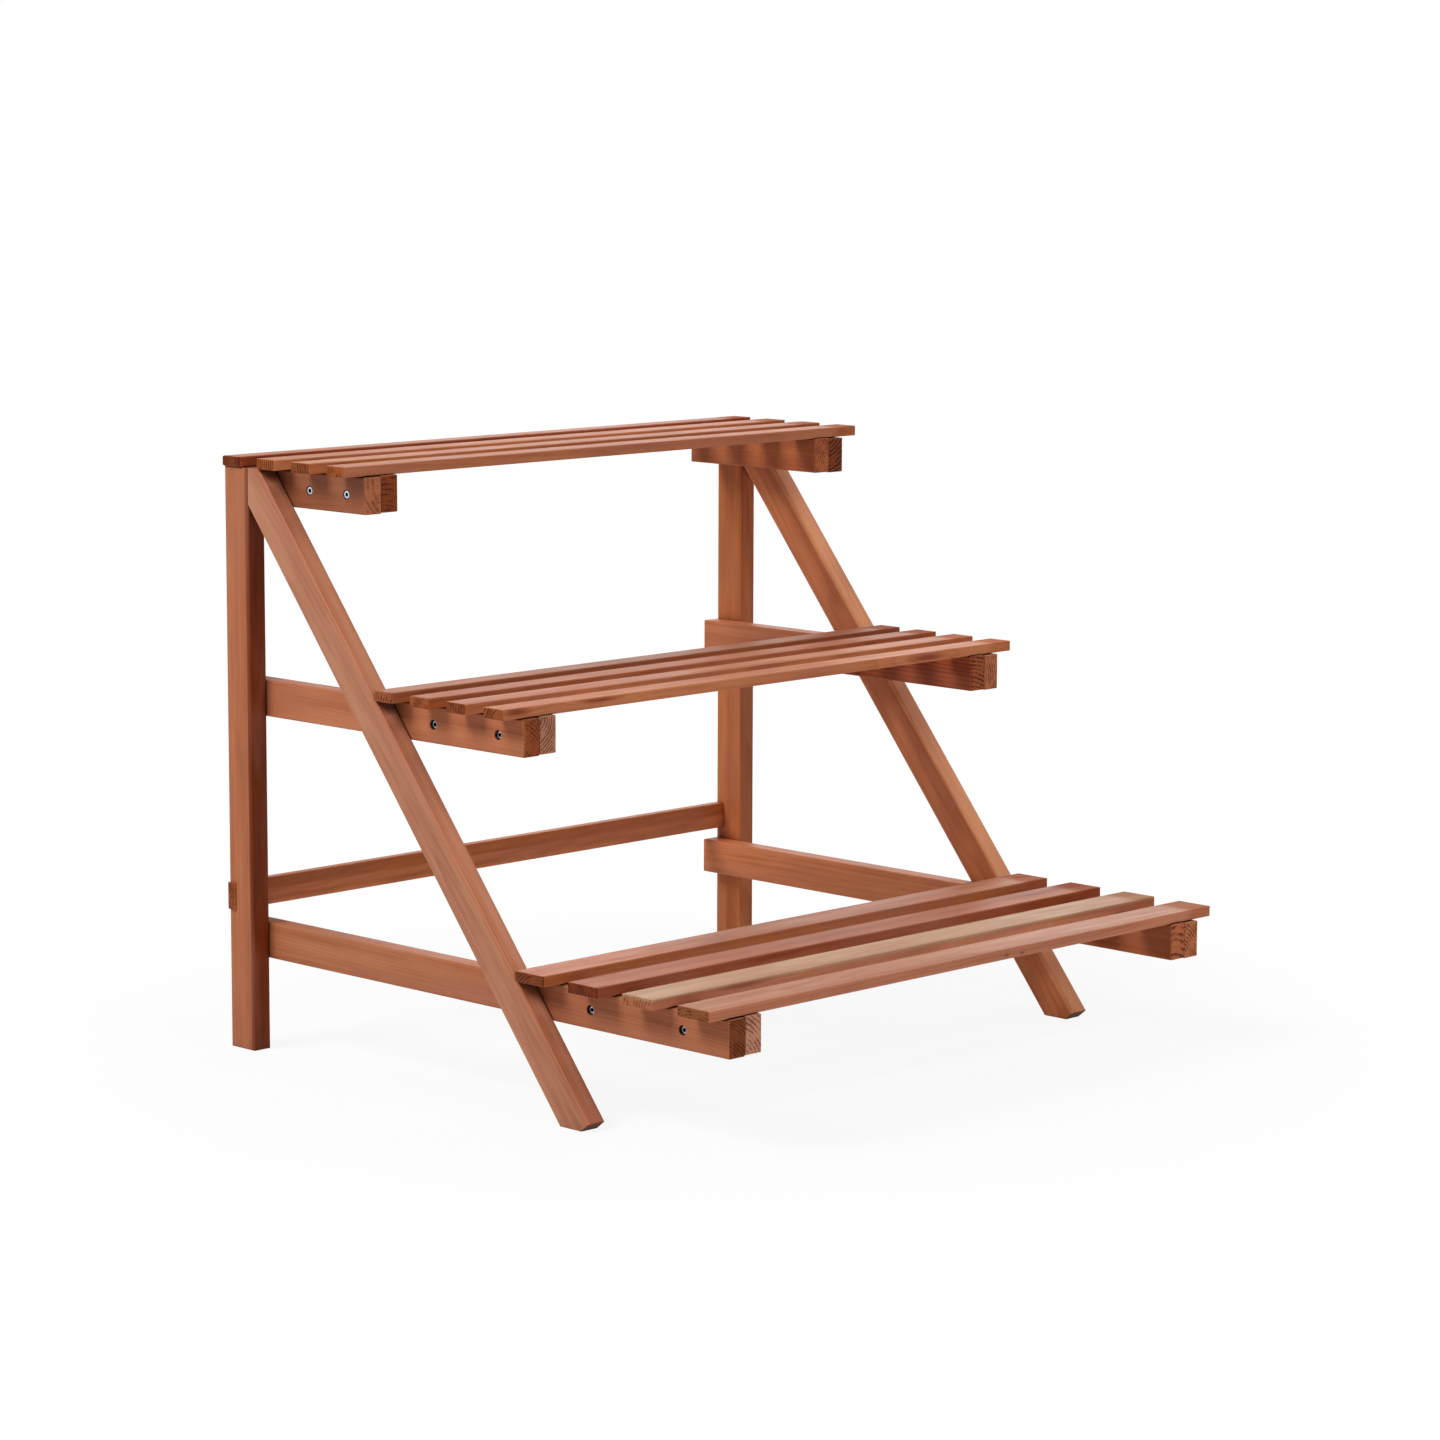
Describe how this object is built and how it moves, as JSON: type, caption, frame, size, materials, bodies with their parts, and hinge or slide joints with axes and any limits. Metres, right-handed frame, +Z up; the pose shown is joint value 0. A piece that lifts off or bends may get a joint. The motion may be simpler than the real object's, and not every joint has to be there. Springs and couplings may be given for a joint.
{
  "type": "plant ladder stand",
  "caption": "Stepped wooden plant stand: slanting side frames carry slatted shelves that grow deeper towards the floor.",
  "frame": {"origin": "on the floor, in the middle of the stand's width and depth", "axes": "+X along the slats to the right seen from the front, +Y to the back posts, +Z up"},
  "size_m": [0.892, 0.843, 0.738],
  "materials": {
    "frame_wood": "satin red-brown cedar stain",
    "cleat_wood": "satin red-brown cedar stain",
    "slat_wood": "satin light cedar stain",
    "dowel_wood": "plain beech",
    "zinc_bolt": "bright zinc plate",
    "zinc_screw": "zinc plate",
    "insert_brass": "plain brass"
  },
  "bodies": {
    "root": {"left_post": "frame_wood", "right_post": "frame_wood", "left_strut": "frame_wood", "right_strut": "frame_wood", "back_rail": "frame_wood", "left_top_rail": "frame_wood", "left_middle_rail": "frame_wood", "left_bottom_rail": "frame_wood", "right_top_rail": "frame_wood", "right_middle_rail": "frame_wood", "right_bottom_rail": "frame_wood", "left_top_cleat": "cleat_wood", "left_middle_cleat": "cleat_wood", "left_bottom_cleat": "cleat_wood", "right_top_cleat": "cleat_wood", "right_middle_cleat": "cleat_wood", "right_bottom_cleat": "cleat_wood", "top_slat_1": "slat_wood", "top_slat_2": "slat_wood", "top_slat_3": "slat_wood", "top_slat_4": "slat_wood", "middle_slat_1": "slat_wood", "middle_slat_2": "slat_wood", "middle_slat_3": "slat_wood", "middle_slat_4": "slat_wood", "bottom_slat_1": "slat_wood", "bottom_slat_2": "slat_wood", "bottom_slat_3": "slat_wood", "bottom_slat_4": "slat_wood", "shelf_bolts": "zinc_bolt", "insert_nuts": "insert_brass", "slat_screws": "zinc_screw", "frame_dowels": "dowel_wood", "back_rail_screws": "zinc_screw"}
  },
  "joints": []
}
